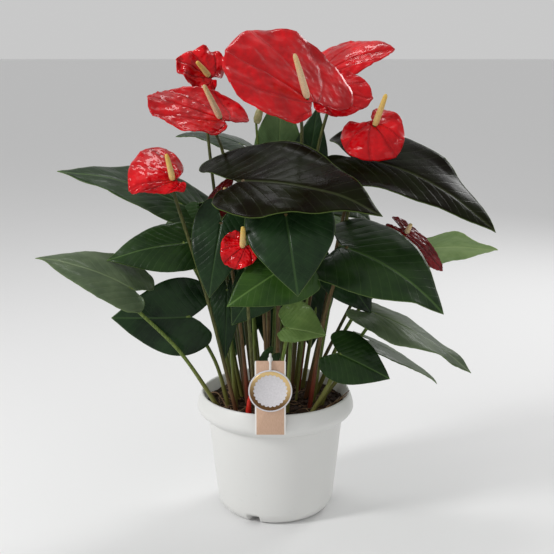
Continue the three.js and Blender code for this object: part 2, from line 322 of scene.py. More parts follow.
def cardPaint(graph):
    place = objectPlace(graph)
    fibre = graph.mottle(graph.node("ShaderNodeMapping", None,
                                    {0: place, 3: (1400.0, 1400.0, 260.0)}), 1.0, 4.0, 0.6)
    middle = cardBox[0][0] / 2 + cardBox[1][0] / 2
    fromEdge = abs(place.part(0) - middle)
    border = fromEdge.between(0.0138, 0.0142)
    body = fibre.between(0.3, 0.7).blend((0.56, 0.36, 0.25), (0.64, 0.43, 0.31))
    body = border.blend(body, (0.82, 0.8, 0.77))
    return {"Base Color": body, "Roughness": fibre * 0.2 + 0.5, "Height": (0.2, 0.0003, fibre)}


# a pale middle for the badge, white at its edge, with nothing printed on it
def badgePaint(graph):
    place = objectPlace(graph)
    fibre = graph.mottle(place, 700.0, 4.0, 0.6)
    body = fibre.between(0.3, 0.7).blend((0.62, 0.6, 0.62), (0.7, 0.68, 0.7))
    return {"Base Color": body, "Roughness": fibre * 0.15 + 0.35, "Height": (0.1, 0.0003, fibre)}


def foilPaint(graph):
    place = objectPlace(graph)
    low, high = badgeBox[0][2], badgeBox[1][2]
    # the foil runs from dark brown low down to bright gold towards the top and right: a painted reflection
    # across the ring
    paintedReflection = (place.part(2) + place.part(0) * 0.4).between(low + 0.004, high - 0.006)
    brushed = graph.mottle(place, 900.0, 3.0, 0.6)
    body = paintedReflection.blend((0.14, 0.07, 0.025), (0.78, 0.56, 0.26))
    return {"Base Color": body, "Roughness": brushed * 0.2 + 0.26, "Height": (0.1, 0.0002, brushed)}


# a bmesh becomes a piece on the plant, at the origin with its place in its mesh
def piece(name, mesh, finishes, nodes=()):
    made = bpy.data.meshes.new(name)
    mesh.to_mesh(made)
    mesh.free()
    for face in made.polygons:
        face.use_smooth = True
    for material in finishes:
        made.materials.append(material)
    thing = bpy.data.objects.new(name, made)
    bpy.context.scene.collection.objects.link(thing)
    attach(thing, "root")
    if nodes:
        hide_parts(*nodes)
    return thing


# a smooth way through a few points; t runs from 0 to 1
def wayPoint(points, t):
    spans = len(points) - 1
    at = min(t * spans, spans - 1e-6)
    i = int(at)
    t = at - i
    p1, p2 = points[i], points[i + 1]
    p0 = points[i - 1] if i else p1 * 2 - p2
    p3 = points[i + 2] if i + 2 <= spans else p2 * 2 - p1
    return 0.5 * (p1 * 2 + (p2 - p0) * t + (p0 * 2 - p1 * 5 + p2 * 4 - p3) * t * t
                  + (p1 * 3 - p0 - p2 * 3 + p3) * t * t * t)


# a round tube along a way, from a bevelled curve; radii are at evenly spaced points
def tubeInto(mesh, points, radii, steps=24, sides=3, material=0):
    curve = bpy.data.curves.new("way", "CURVE")
    curve.dimensions = "3D"
    curve.bevel_depth = mm
    curve.bevel_resolution = sides
    curve.use_fill_caps = True
    spline = curve.splines.new("POLY")
    spline.points.add(steps)
    for i, point in enumerate(spline.points):
        t = i / steps
        point.co = (*wayPoint(points, t) * mm, 1.0)
        at = t * (len(radii) - 1)
        low = min(int(at), len(radii) - 2)
        point.radius = radii[low] + (radii[low + 1] - radii[low]) * (at - low)
    thing = bpy.data.objects.new("way", curve)
    bpy.context.scene.collection.objects.link(thing)
    solid = bpy.data.meshes.new_from_object(thing)
    for face in solid.polygons:
        face.material_index = material
    mesh.from_mesh(solid)
    bpy.data.objects.remove(thing)
    bpy.data.curves.remove(curve)
    bpy.data.meshes.remove(solid)


# turns a half section round an upright axis into a closed skin
def spun(mesh, profile, steps, centre=(0, 0, 0)):
    low = Vector(centre) * mm
    rows = [mesh.verts.new(low + Vector((radius * mm, 0, height * mm))) for radius, height in profile]
    edges = [mesh.edges.new(pair) for pair in zip(rows, rows[1:])]
    bmesh.ops.spin(mesh, geom=rows + edges, cent=low, axis=(0, 0, 1), angle=2 * math.pi,
                   steps=steps, use_merge=True)
    bmesh.ops.remove_doubles(mesh, verts=mesh.verts, dist=1e-6)
    bmesh.ops.recalc_face_normals(mesh, faces=mesh.faces)


plain = {"curl": 0.0, "fold": 0.0, "wave": 0.02, "tipFall": 0.0, "finish": "green"}
bladeShape = {"around": 112, "out": 22, "leafThickness": 0.7, "spatheThickness": 0.9, "sideDroop": 0.12,
              "lobeStart": -0.06, "veinRise": 0.4, "midribDip": 0.9, "pucker": 1.7}
# half outlines from the stem to the tip: how far along the midrib, and how far out
leafOutline = [(-0.05, 0), (-0.2, 0.2), (-0.32, 0.48), (-0.24, 0.8), (0.02, 1), (0.35, 0.9),
               (0.7, 0.48), (1, 0)]
spatheOutline = [(-0.06, 0), (-0.28, 0.2), (-0.38, 0.5), (-0.22, 0.86), (0.12, 1), (0.5, 0.9),
                 (0.84, 0.5), (1, 0)]
broadNear = [(-0.06, 0), (-0.1, 0.2), (-0.1, 0.42), (0, 0.68), (0.2, 0.9), (0.47, 1),
             (0.76, 0.8), (0.93, 0.45), (1, 0)]
broadFar = [(-0.06, 0), (-0.3, 0.2), (-0.44, 0.5), (-0.32, 0.8), (0, 1), (0.4, 1),
            (0.74, 0.78), (0.93, 0.42), (1, 0)]


def bladeFrame(spec):
    at = Vector(spec["at"])
    along = Vector(spec["tip"]) - at
    length = along.length
    along.normalize()
    up = Vector(spec["face"])
    up = (up - along * up.dot(along)).normalized()
    return at, along, up.cross(along), up, length


# a leaf or spathe: a grid wrapped round its outline, so one edge of it shrinks to the stem
def bladeMesh(spec, outlines, isSpathe, seed):
    at, along, across, up, length = bladeFrame(spec)
    first = [Vector((a, w, 0)) for a, w in outlines[0]]
    second = [Vector((a, -w, 0)) for a, w in reversed(outlines[1])]
    mesh = bmesh.new()
    place = mesh.verts.layers.float_vector.new("bladePlace")
    bmesh.ops.create_grid(mesh, x_segments=bladeShape["around"], y_segments=bladeShape["out"], size=1.0)
    size = (spec["halves"][0] + spec["halves"][1]) / 2
    drift = Vector((seed * 3.7, seed * 1.3, 0))
    for vert in mesh.verts:
        u = (vert.co.x + 1) / 2
        reach = (vert.co.y + 1) / 2
        edge = wayPoint(first, 2 * u) if u < 0.5 else wayPoint(second, 2 * u - 1)
        w = edge.y * reach
        side = 0 if w > 0 else 1
        out = edge.x
        if out < bladeShape["lobeStart"]:
            out = bladeShape["lobeStart"] + (out - bladeShape["lobeStart"]) * spec["lobes"][side]
        a = reach * out
        half = spec["halves"][side]
        lift = spec["arch"] * length * 4 * a * (1 - a) - bladeShape["sideDroop"] * half * w * w
        lift += spec["curl"] * half * w ** 4 + spec["fold"] * half * abs(w)
        lift -= spec["tipFall"] * length * max(0.0, a - 0.55) ** 2 * 3
        flow = Vector((a * 3.1, w * 2.3, seed)) + drift
        lift += spec["wave"] * size * reach ** 3 * noise.noise(flow) * 2.2
        lift += spec["wave"] * size * reach ** 6 * math.sin(u * 2 * math.pi * 7 + seed) * 0.5
        if isSpathe:
            angle = math.atan2(w, a + 0.12)
            rib = math.cos((angle + math.sin(angle) * reach * 0.55) * 7)
            lift += bladeShape["pucker"] * reach * (noise.noise(flow * 4.5) - 0.35 * max(rib, 0) ** 6)
        else:
            lean = a - abs(w) * leafLook["veinLean"] + w * w * leafLook["veinCurl"]
            rib = math.cos(lean * 2 * math.pi * leafLook["veins"])
            lift += bladeShape["veinRise"] * min(abs(w) * 5, 1) * (0.4 - max(rib, 0) ** 4)
            lift += noise.noise(flow * 3.5) * 0.5 * reach
        lift -= bladeShape["midribDip"] * math.exp(-(w / 0.035) ** 2) * (1 - reach * 0.5)
        vert[place] = (a, w, reach)
        vert.co = (at + along * (a * length) + across * (w * half) + up * lift) * mm
    bmesh.ops.remove_doubles(mesh, verts=mesh.verts, dist=1e-7)
    mesh.normal_update()
    facing = sum((face.normal * face.calc_area() for face in mesh.faces), Vector())
    if facing.dot(up) < 0:
        bmesh.ops.reverse_faces(mesh, faces=mesh.faces)
    return mesh


def thicken(thing, thickness):
    wall = thing.modifiers.new("thickness", "SOLIDIFY")
    wall.thickness = thickness * mm
    wall.offset = -1.0
    wall.use_even_offset = False
    wall.material_offset = 1


def stemWay(spec, end):
    at, along, across, up, length = bladeFrame(spec)
    lead = min(18.0, at.z * 0.06)
    return [Vector((*spec["foot"], stemLook["bottom"])), Vector(spec["via"]), at - up * lead, at + up * end]


stemLook = {"bottom": 117, "petiole": 2.0, "stalk": 1.8,
            "brown": ("crown", "dark_centre", "centre_hang", "right_hang", "inner_hang", "back_right",
                      "right_top", "dark_back")}
leaves = {
    "crown": {"at": (-30, -85, 372), "tip": (100, -125, 350), "halves": (70, 50), "lobes": (1.5, 0.35),
              "face": (0, -0.5, 0.87), "arch": 0.06, "foot": (-10, -16), "via": (-8, -44, 270),
              "finish": "young", "curl": 0.1, "wave": 0.05, "tipFall": 0.1},
    "centre_hang": {"at": (10, -110, 342), "tip": (21, -144, 272), "halves": (46, 40), "lobes": (0.8, 0.8),
                    "face": (0, -0.9, 0.45), "arch": 0.04, "foot": (2, -28), "via": (4, -62, 290),
                    "finish": "dark", "curl": -0.1},
    "front_bright": {"at": (19, -102, 297), "tip": (-46, -122, 257), "halves": (36, 30),
                     "lobes": (0.3, 0.7), "face": (-0.1, -0.9, 0.4), "arch": 0.04, "foot": (12, -38),
                     "via": (17, -46, 220), "finish": "bright", "curl": -0.08},
    "right_hang": {"at": (71, -74, 304), "tip": (162, -112, 247), "halves": (58, 50), "lobes": (0.8, 0.2),
                   "face": (0.2, -0.6, 0.78), "arch": 0.1, "foot": (36, -26), "via": (50, -40, 220),
                   "wave": 0.04},
    "right_top": {"at": (87, -42, 389), "tip": (218, -60, 315), "halves": (66, 44), "lobes": (0.75, 0.8),
                  "face": (0.2, -0.5, 0.85), "arch": 0.1, "foot": (36, 10), "via": (64, -8, 290),
                  "finish": "young", "wave": 0.05, "curl": 0.06},
    "right_pale": {"at": (158, 20, 284), "tip": (240, 20, 281), "halves": (42, 42), "lobes": (1, 1),
                   "face": (0, 0.6, 0.8), "arch": 0.06, "foot": (43, 18), "via": (90, 20, 215),
                   "finish": "pale", "wave": 0.04},
    "right_low": {"at": (106, -30, 225), "tip": (206, -35, 162), "halves": (44, 40), "lobes": (1, 0.8),
                  "face": (0.45, -0.15, 0.9), "arch": 0.05, "foot": (36, -44), "via": (66, -44, 170),
                  "finish": "dusty", "wave": 0.06},
    "right_thin": {"at": (110, 15, 180), "tip": (178, 8, 136), "halves": (29, 28), "lobes": (1, 1),
                   "face": (0.4, 0, 0.9), "arch": 0.04, "foot": (48, 0), "via": (76, 10, 148),
                   "finish": "dusty"},
    "pot_right": {"at": (68, -50, 187), "tip": (118, -58, 163), "halves": (28, 28), "lobes": (1, 1),
                  "face": (0.2, -0.9, 0.4), "arch": 0.05, "foot": (48, -22), "via": (58, -28, 152),
                  "finish": "green", "wave": 0.04},
    "young_pale": {"at": (12, -88, 226), "tip": (50, -94, 220), "halves": (36, 14), "lobes": (1, 0.6),
                   "face": (0, -0.7, 0.7), "arch": 0.04, "foot": (4, -50), "via": (6, -66, 175),
                   "finish": "lime", "wave": 0.05},
    "left_low": {"at": (-143, -75, 264), "tip": (-236, -76, 294), "halves": (35, 50), "lobes": (0.5, 0.6),
                 "face": (0, -0.32, 0.95), "arch": 0.07, "foot": (-56, -36), "via": (-98, -56, 192),
                 "finish": "dusty", "wave": 0.05},
    "left_long": {"at": (-100, 6, 336), "tip": (-227, 0, 370), "halves": (37, 50), "lobes": (0.6, 1),
                  "face": (0.1, -0.35, 0.9), "arch": 0.06, "foot": (-36, 10), "via": (-62, 10, 240),
                  "wave": 0.05, "curl": 0.1},
    "left_mid": {"at": (-94, -44, 303), "tip": (-170, -51, 286), "halves": (30, 26), "lobes": (1, 0.8),
                 "face": (-0.3, -0.8, 0.5), "arch": 0.08, "foot": (-42, -8), "via": (-64, -12, 220),
                 "wave": 0.05},
    "left_dark": {"at": (-90, -40, 224), "tip": (-168, -50, 226), "halves": (41, 41), "lobes": (1, 1),
                  "face": (-0.1, -1, 0.1), "arch": 0.05, "foot": (-50, -20), "via": (-64, -20, 170),
                  "finish": "dark", "wave": 0.04},
    "dark_centre": {"at": (-54, -62, 325), "tip": (-66, -72, 252), "halves": (28, 28), "lobes": (1, 1),
                    "face": (-0.1, -1, 0.2), "arch": 0.06, "foot": (-28, -26), "via": (-38, -40, 230),
                    "finish": "dark"},
    "back_left": {"at": (-40, 48, 395), "tip": (-108, 52, 402), "halves": (32, 45), "lobes": (1, 1),
                  "face": (-0.1, -0.1, 0.99), "arch": 0.08, "foot": (-20, 28), "via": (-28, 40, 260),
                  "finish": "dark"},
    "back_right": {"at": (58, 30, 336), "tip": (100, -2, 318), "halves": (32, 32), "lobes": (0.8, 0.8),
                   "face": (0.1, -0.3, 0.95), "arch": 0.06, "foot": (24, 20), "via": (40, 30, 240)},
}
# leaves that fill the inside and the back of the plant, on stems of their own
fillers = {
    "inner_left": {"at": (-82, -8, 322), "tip": (-108, -20, 284), "halves": (22, 22), "lobes": (1, 1),
                   "face": (-0.2, -0.9, 0.5), "arch": 0.05, "foot": (-40, 0), "via": (-60, 0, 230)},
    "inner_hang": {"at": (-14, -56, 268), "tip": (-44, -64, 222), "halves": (28, 24), "lobes": (1, 0.8),
                   "face": (0, -1, 0.2), "arch": 0.04, "foot": (-8, -30), "via": (-10, -40, 190),
                   "finish": "dark"},
    "inner_low": {"at": (-50, -34, 250), "tip": (-52, -44, 180), "halves": (15, 17), "lobes": (1, 1),
                  "face": (0, -1, 0.1), "arch": 0.04, "foot": (-42, -24), "via": (-46, -28, 180),
                  "finish": "dark"},
    "grey_back": {"at": (4, 20, 380), "tip": (6, 12, 452), "halves": (27, 24), "lobes": (1, 1),
                  "face": (0.1, -1, 0.2), "arch": -0.03, "foot": (0, 20), "via": (2, 24, 250),
                  "finish": "under"},
    "dark_back": {"at": (34, 22, 366), "tip": (44, 14, 436), "halves": (22, 20), "lobes": (1, 1),
                  "face": (-0.1, -1, 0.2), "arch": 0.03, "foot": (14, 26), "via": (24, 28, 240),
                  "finish": "dark"},
    "inner_right": {"at": (66, -26, 270), "tip": (100, -34, 226), "halves": (26, 24), "lobes": (1, 1),
                    "face": (0.1, -0.9, 0.4), "arch": 0.05, "foot": (40, -10), "via": (52, -16, 200),
                    "finish": "dark"},
    "small_low": {"at": (-4, -64, 190), "tip": (-20, -70, 172), "halves": (9, 9), "lobes": (1, 1),
                  "face": (0, -0.9, 0.4), "arch": 0.04, "foot": (-4, -52), "via": (-4, -58, 155)},
    "rear_left": {"at": (-58, 52, 330), "tip": (-132, 72, 288), "halves": (38, 38), "lobes": (1, 1),
                  "face": (-0.2, 0.35, 0.9), "arch": 0.08, "foot": (-32, 30), "via": (-44, 42, 230)},
    "rear_mid": {"at": (0, 62, 356), "tip": (-8, 90, 280), "halves": (38, 38), "lobes": (0.9, 0.9),
                 "face": (0, 0.85, 0.5), "arch": 0.05, "foot": (-4, 38), "via": (0, 52, 240)},
    "rear_right": {"at": (62, 54, 312), "tip": (130, 72, 262), "halves": (38, 36), "lobes": (1, 1),
                   "face": (0.3, 0.4, 0.85), "arch": 0.08, "foot": (30, 36), "via": (46, 48, 220)},
    "rear_low": {"at": (-34, 60, 250), "tip": (-66, 84, 196), "halves": (30, 30), "lobes": (1, 1),
                 "face": (-0.2, 0.8, 0.5), "arch": 0.06, "foot": (-22, 46), "via": (-28, 54, 190),
                 "finish": "dark"},
    "low_back_left": {"at": (-30, 46, 250), "tip": (-46, 60, 150), "halves": (34, 34), "lobes": (1, 1),
                      "face": (0, -1, 0.1), "arch": 0.04, "foot": (-16, 40), "via": (-24, 44, 200),
                      "finish": "dark"},
    "low_back_mid": {"at": (6, 50, 240), "tip": (2, 62, 138), "halves": (34, 34), "lobes": (1, 1),
                     "face": (0, -1, 0.1), "arch": 0.05, "foot": (4, 44), "via": (6, 48, 190),
                     "finish": "dark"},
    "low_back_right": {"at": (36, 44, 250), "tip": (40, 56, 160), "halves": (30, 26), "lobes": (1, 1),
                       "face": (0, -1, 0.1), "arch": 0.04, "foot": (22, 40), "via": (30, 42, 200),
                       "finish": "dark"},
    "rear_small": {"at": (24, 62, 228), "tip": (52, 84, 178), "halves": (28, 28), "lobes": (1, 1),
                   "face": (0.2, 0.85, 0.45), "arch": 0.06, "foot": (18, 50), "via": (22, 56, 180)},
}
flowers = {
    "main": {"at": (30, -92, 450), "tip": (-46, -98, 494), "halves": (48, 70), "lobes": (1, 1.2),
             "face": (0.1, -0.62, 0.78), "arch": 0.03, "spike": 44, "rise": (-0.3, -0.25, 0.92),
             "foot": (2, -10), "via": (26, -8, 385), "wave": 0.04, "curl": 0.12,
             "outlines": (broadNear, broadFar)},
    "left": {"at": (-54, -45, 428), "tip": (-125, -48, 450), "halves": (38, 36), "lobes": (1, 1),
             "face": (0, -0.5, 0.87), "arch": 0.02, "spike": 38, "rise": (-0.42, -0.3, 0.86),
             "foot": (-22, -10), "via": (-50, 2, 362), "wave": 0.05, "curl": 0.2,
             "outlines": (broadNear, spatheOutline)},
    "small": {"at": (-68, 8, 467), "tip": (-101, 4, 484), "halves": (20, 28), "lobes": (0.8, 1),
              "face": (0.2, -0.85, 0.5), "arch": 0.02, "spike": 22, "rise": (-0.55, -0.5, 0.65),
              "foot": (-32, 6), "via": (-64, 4, 350), "wave": 0.26, "curl": 0.35, "spadix": "yellow"},
    "back_right": {"at": (46, 50, 464), "tip": (127, 50, 493), "halves": (48, 26), "lobes": (1, 0.6),
                   "face": (-0.1, -0.5, 0.87), "arch": 0.1, "spike": 20, "rise": (0, -0.2, 0.95),
                   "foot": (10, 26), "via": (28, 42, 330), "wave": 0.07},
    "behind": {"at": (56, -20, 452), "tip": (98, -24, 446), "halves": (30, 26), "lobes": (1, 1),
               "face": (0.2, -0.8, 0.6), "arch": 0.04, "spike": 16, "rise": (0.1, -0.6, 0.8),
               "foot": (16, 2), "via": (38, 2, 355), "wave": 0.07},
    "right": {"at": (98, -44, 421), "tip": (118, -62, 392), "halves": (24, 38), "lobes": (1.3, 1.5),
              "face": (-0.2, -0.75, 0.6), "arch": 0.1, "spike": 34, "rise": (0.26, -0.3, 0.92),
              "foot": (32, 2), "via": (84, -24, 372), "wave": 0.14, "curl": 0.1, "spadix": "yellow"},
    "left_low": {"at": (-100, -66, 370), "tip": (-142, -78, 362), "halves": (15, 54), "lobes": (0.6, 1),
                 "face": (-0.1, -0.65, 0.75), "arch": 0.06, "spike": 28, "rise": (-0.2, -0.3, 0.93),
                 "foot": (-40, -44), "via": (-68, -58, 245), "wave": 0.06, "spadix": "yellow"},
    "low_centre": {"at": (-31, -104, 311), "tip": (-49, -110, 296), "halves": (19, 19), "lobes": (1, 1),
                   "face": (-0.3, -0.9, 0.3), "arch": 0.03, "spike": 24, "rise": (0, -0.45, 0.9),
                   "foot": (-20, -46), "via": (-26, -78, 225), "wave": 0.12, "curl": 0.2,
                   "spadix": "yellow"},
    "shade_left": {"at": (-50, -30, 350), "tip": (-78, -35, 312), "halves": (15, 15), "lobes": (1, 1),
                   "face": (-0.3, -0.9, 0.4), "arch": 0.04, "spike": 14, "rise": (-0.1, -0.8, 0.6),
                   "foot": (-30, -14), "via": (-44, -12, 250), "finish": "shade"},
    "shade_right": {"at": (134, -30, 311), "tip": (172, -36, 272), "halves": (16, 16), "lobes": (1, 1),
                    "face": (0.3, -0.6, 0.75), "arch": 0.04, "spike": 14, "rise": (0.2, -0.6, 0.75),
                    "foot": (34, 26), "via": (92, 20, 240), "finish": "shade"},
}


def makeLeaf(name, spec, nodes, seed):
    spec = {**plain, **spec}
    top = leafFinishes[spec["finish"]]
    below = leafFinishes["pale" if spec["finish"] in ("pale", "lime") else "under"]
    blade = piece("leaf_" + name + "_blade", bladeMesh(spec, (leafOutline, leafOutline), False, seed),
                  (top, below), nodes[:1])
    thicken(blade, bladeShape["leafThickness"])
    stem = bmesh.new()
    thick = stemLook["petiole"]
    tubeInto(stem, stemWay(spec, -0.6), (thick * 1.3, thick, thick * 0.92, thick * 0.9, thick * 1.25))
    tone = "brown" if name in stemLook["brown"] else "green"
    piece("petiole_" + name + "_stem", stem, (stemFinishes[tone],), nodes[1:])


for seed, (name, spec) in enumerate(leaves.items()):
    makeLeaf(name, spec, ("leaf_" + name, "petiole_" + name), seed)
for seed, (name, spec) in enumerate(fillers.items()):
    makeLeaf(name, spec, (), seed + 40)
print("leaves made:", len(leaves) + len(fillers))


spadixShape = {"around": 52, "rows": 84, "beadsAround": 13, "bead": 0.28}


# the spike: a spun taper whose skin is raised in rows of small florets
def spadixInto(mesh, spec):
    spike = bmesh.new()
    place = spike.verts.layers.float_vector.new("bladePlace")
    thick = 2.4 + spec["spike"] * 0.022
    profile = []
    for i in range(spadixShape["rows"] + 1):
        t = i / spadixShape["rows"]
        blunt = math.sqrt(max(0.0, 1 - ((t - 0.9) / 0.1) ** 2)) if t > 0.9 else 1.0
        foot = min(1.0, 0.75 + t * 2)
        profile.append((max(0.0, thick * (1 - 0.42 * t ** 1.6) * blunt * foot), t * spec["spike"]))
    profile[0] = (0.0, 0.0)
    profile[-1] = (0.0, float(spec["spike"]))
    spun(spike, profile, spadixShape["around"])
    turn = Vector((0, 0, 1)).rotation_difference(Vector(spec["rise"]))
    at = Vector(spec["at"]) * mm
    beads = spadixShape["beadsAround"]
    rowsOfBeads = spec["spike"] * 0.62
    for vert in spike.verts:
        t = vert.co.z / (spec["spike"] * mm)
        angle = math.atan2(vert.co.y, vert.co.x)
        flat = Vector((vert.co.x, vert.co.y, 0))
        if flat.length > 0.0004:
            row = t * rowsOfBeads * math.pi
            swell = math.cos(angle * beads + row) * math.cos(row)
            vert.co += flat.normalized() * spadixShape["bead"] * mm * swell
        bend = math.sin(t * 1.6) * 0.7 * mm
        vert.co.x += bend
        vert[place] = (t, 0, 1)
        vert.co = turn @ vert.co + at
    for face in spike.faces:
        face.material_index = 1
    held = bpy.data.meshes.new("spike")
    spike.to_mesh(held)
    spike.free()
    mesh.from_mesh(held)
    bpy.data.meshes.remove(held)


for seed, (name, spec) in enumerate(flowers.items()):
    spec = {**plain, "spadix": "cream", "outlines": (spatheOutline, spatheOutline), **spec}
    tone = spec["finish"] if spec["finish"] in spatheFinishes else "red"
    bract = piece("spathe_" + name + "_bract", bladeMesh(spec, spec["outlines"], True, seed + 9),
                  (spatheFinishes[tone], spatheFinishes["under"]), ("spathe_" + name,))
    thicken(bract, bladeShape["spatheThickness"])
    stalk = bmesh.new()
    stalk.verts.layers.float_vector.new("bladePlace")
    thick = stemLook["stalk"]
    tubeInto(stalk, stemWay(spec, 0.5), (thick * 1.25, thick, thick * 0.95, thick, thick * 1.15))
    spadixInto(stalk, spec)
    piece("stalk_" + name + "_spadix", stalk, (stemFinishes["stalk"], spadixFinishes[spec["spadix"]]),
          ("flower_stalk_" + name,))
print("flowers made:", len(flowers))


potShape = {"height": 132, "rim": 79.5, "band": 85, "bandBottom": 106, "bodyTop": 73, "body": 63.5,
            "foot": 53.5, "footHeight": 13, "wall": 2, "floor": 5.5, "steps": 180,
            "notchStart": -113, "notches": 3, "notchWidth": 12, "notchHeight": 7.6, "notchDepth": 9}


def makePot():
    p = potShape
    outer = [(0, 0.3), (p["foot"] - 8, 0.3), (p["foot"] - 7, 0), (p["foot"] - 1, 0), (p["foot"], 0.4),
             (p["foot"] + 1.6, 1.0), (p["foot"] + 3.2, 2.0), (p["foot"] + 5.6, 4.4), (p["foot"] + 7.6, 7.2),
             (p["foot"] + 9.0, 10.2), (p["body"] - 0.2, p["footHeight"])]
    for i in range(1, 13):
        t = i / 12
        outer.append((p["body"] + (p["bodyTop"] - p["body"]) * t,
                      p["footHeight"] + (p["bandBottom"] - 1.6 - p["footHeight"]) * t))
    outer += [(p["bodyTop"] + 0.1, p["bandBottom"] - 0.9), (p["bodyTop"] + 0.8, p["bandBottom"] - 0.4),
              (p["bodyTop"] + 3.4, p["bandBottom"] - 0.2), (p["bodyTop"] + 4.1, p["bandBottom"]),
              (p["bodyTop"] + 4.5, p["bandBottom"] + 0.5), (p["band"] - 5.6, p["bandBottom"] + 2.2),
              (p["band"] - 3, p["bandBottom"] + 4.4), (p["band"] - 0.9, p["bandBottom"] + 7.2),
              (p["band"], p["bandBottom"] + 10),
              (p["band"] - 0.2, p["bandBottom"] + 12.5), (p["band"] - 1, p["bandBottom"] + 16),
              (p["band"] - 2.2, p["bandBottom"] + 19.5), (p["rim"] + 1.6, p["height"] - 2.4),
              (p["rim"] + 0.9, p["height"] - 0.7), (p["rim"], p["height"]),
              (p["rim"] - 1, p["height"] - 0.3), (p["rim"] - p["wall"], p["height"] - 1.6),
              (p["bodyTop"] - p["wall"], p["bandBottom"] - 1), (p["body"] - p["wall"], p["footHeight"]),
              (p["foot"] + 2, p["floor"]), (0, p["floor"])]
    mesh = bmesh.new()
    spun(mesh, outer, p["steps"])
    for vert in mesh.verts:
        flat = Vector((vert.co.x, vert.co.y, 0))
        if vert.co.z > p["notchHeight"] * mm or flat.length < (p["foot"] - 9) * mm:
            continue
        for i in range(p["notches"]):
            angle = math.radians(p["notchStart"] + i * 360 / p["notches"])
            away = Vector((math.cos(angle), math.sin(angle), 0))
            if flat.dot(away) > 0 and (flat - away * flat.dot(away)).length < p["notchWidth"] / 2 * mm:
                vert.co -= away * (flat.dot(away) - (p["foot"] - p["notchDepth"]) * mm)
    bmesh.ops.remove_doubles(mesh, verts=mesh.verts, dist=1e-6)
    bmesh.ops.recalc_face_normals(mesh, faces=mesh.faces)
    piece("nursery_pot", mesh, (finish("potPlastic", {"Specular IOR Level": 0.5}, potPaint),),
          ("pot",))


makePot()
print("pot made")


soilLook = {"top": 119.2, "radius": 74.2, "lumps": 3.0, "crumbs": 620, "fibres": 150, "seed": 5}
soilDice = random.Random(soilLook["seed"])
rimRoots = [
    [(-72, -8, 131), (-66, -26, 128), (-50, -44, 122)],
    [(-74, 4, 126), (-62, -14, 132), (-52, -30, 122)],
    [(60, -34, 121), (70, -26, 131), (80, -10, 134)],
    [(44, -52, 121), (58, -44, 130), (76, -24, 133)],
    [(52, -40, 121), (64, -30, 129), (70, -8, 126)],
]
shootWay = [(10, -62, 121), (26, -66, 124), (48, -60, 128)]


def soilHeight(x, y):
    spot = Vector((x * 0.07, y * 0.07, 3.1))
    dome = 2.2 * (1 - (x * x + y * y) / 5500)
    return soilLook["top"] + dome + soilLook["lumps"] * noise.fractal(spot, 0.9, 2.1, 4)


def makeSoil():
    profile = [(0, 6), (54, 6), (60.5, 14), (70, 105), (soilLook["radius"], soilLook["top"] - 2)]
    profile += [(soilLook["radius"] * (1 - i / 34), soilLook["top"]) for i in range(1, 34)]
    profile += [(0, soilLook["top"])]
    mesh = bmesh.new()
    spun(mesh, profile, 120)
    for vert in mesh.verts:
        if vert.co.z > (soilLook["top"] - 3) * mm:
            vert.co.z = soilHeight(vert.co.x / mm, vert.co.y / mm) * mm
    fibres = finish("soilFibre", {"Specular IOR Level": 0.3}, fibrePaint)
    earth = finish("soilEarth", {"Specular IOR Level": 0.25}, soilPaint)
    piece("soil_plug", mesh, (earth,), ("soil",))

    crumbs = bmesh.new()
    for i in range(soilLook["crumbs"]):
        angle = soilDice.uniform(0, 2 * math.pi)
        radius = 72 * math.sqrt(soilDice.random())
        x, y = radius * math.cos(angle), radius * math.sin(angle)
        made = bmesh.ops.create_icosphere(crumbs, subdivisions=1, radius=mm)["verts"]
        size = soilDice.uniform(0.6, 2.2)
        wide, deep = soilDice.uniform(0.6, 1.3), soilDice.uniform(0.6, 1.3)
        stretch = Vector((wide, deep, soilDice.uniform(0.5, 0.9)))
        for vert in made:
            rough = 1 + 0.5 * noise.noise(vert.co * 900 + Vector((i, 0, 0)))
            vert.co = Vector((x, y, soilHeight(x, y) + size * 0.3)) * mm + vert.co * stretch * size * rough
    piece("soil_crumbs", crumbs, (earth,))

    strands = bmesh.new()
    for i in range(soilLook["fibres"]):
        angle = soilDice.uniform(0, 2 * math.pi)
        radius = 66 * math.sqrt(soilDice.random())
        x, y = radius * math.cos(angle), radius * math.sin(angle)
        turn = soilDice.uniform(0, 2 * math.pi)
        span = soilDice.uniform(8, 26)
        points = []
        for _ in range(4):
            turn += soilDice.uniform(-0.7, 0.7)
            points.append(Vector((x, y, soilHeight(x, y) + 0.5 + soilDice.uniform(0, 2.4))))
            x += math.cos(turn) * span / 3
            y += math.sin(turn) * span / 3
            if x * x + y * y > 73 ** 2:
                x, y = x * 0.9, y * 0.9
        thick = soilDice.uniform(0.22, 0.6)
        tubeInto(strands, points, (thick, thick * 0.8, thick * 0.5), 12, 1)
    # a few roots that lean on the rim
    for points in rimRoots:
        tubeInto(strands, [Vector(p) for p in points], (0.7, 0.6, 0.4), 14, 1)
    piece("soil_fibres", strands, (fibres,))

    shoot = bmesh.new()
    tubeInto(shoot, [Vector(p) for p in shootWay], (1.1, 1.0, 0.5), 16, 2)
    piece("pale_shoot", shoot, (stemFinishes["lime"],))


makeSoil()
print("soil made")


sheathShape = {"at": (-28, -56, 118), "height": 28, "lean": 1.4,
               "profile": ((0, 0), (2.4, 0.4), (2.9, 5), (3, 10), (2.5, 16), (1.7, 22), (0.9, 26),
                           (0, 28.5))}
budShapes = {
    "red_bud": {"at": (45, -22, 376), "rise": (0.1, 0, 1), "length": 11, "radius": 2.2,
                "foot": (22, -6), "finish": "bud"},
    "furled_spathe": {"at": (-20, 12, 418), "rise": (0.3, 0, 1), "length": 24, "radius": 4.2,
                      "foot": (-8, 12), "finish": "furled"},
}


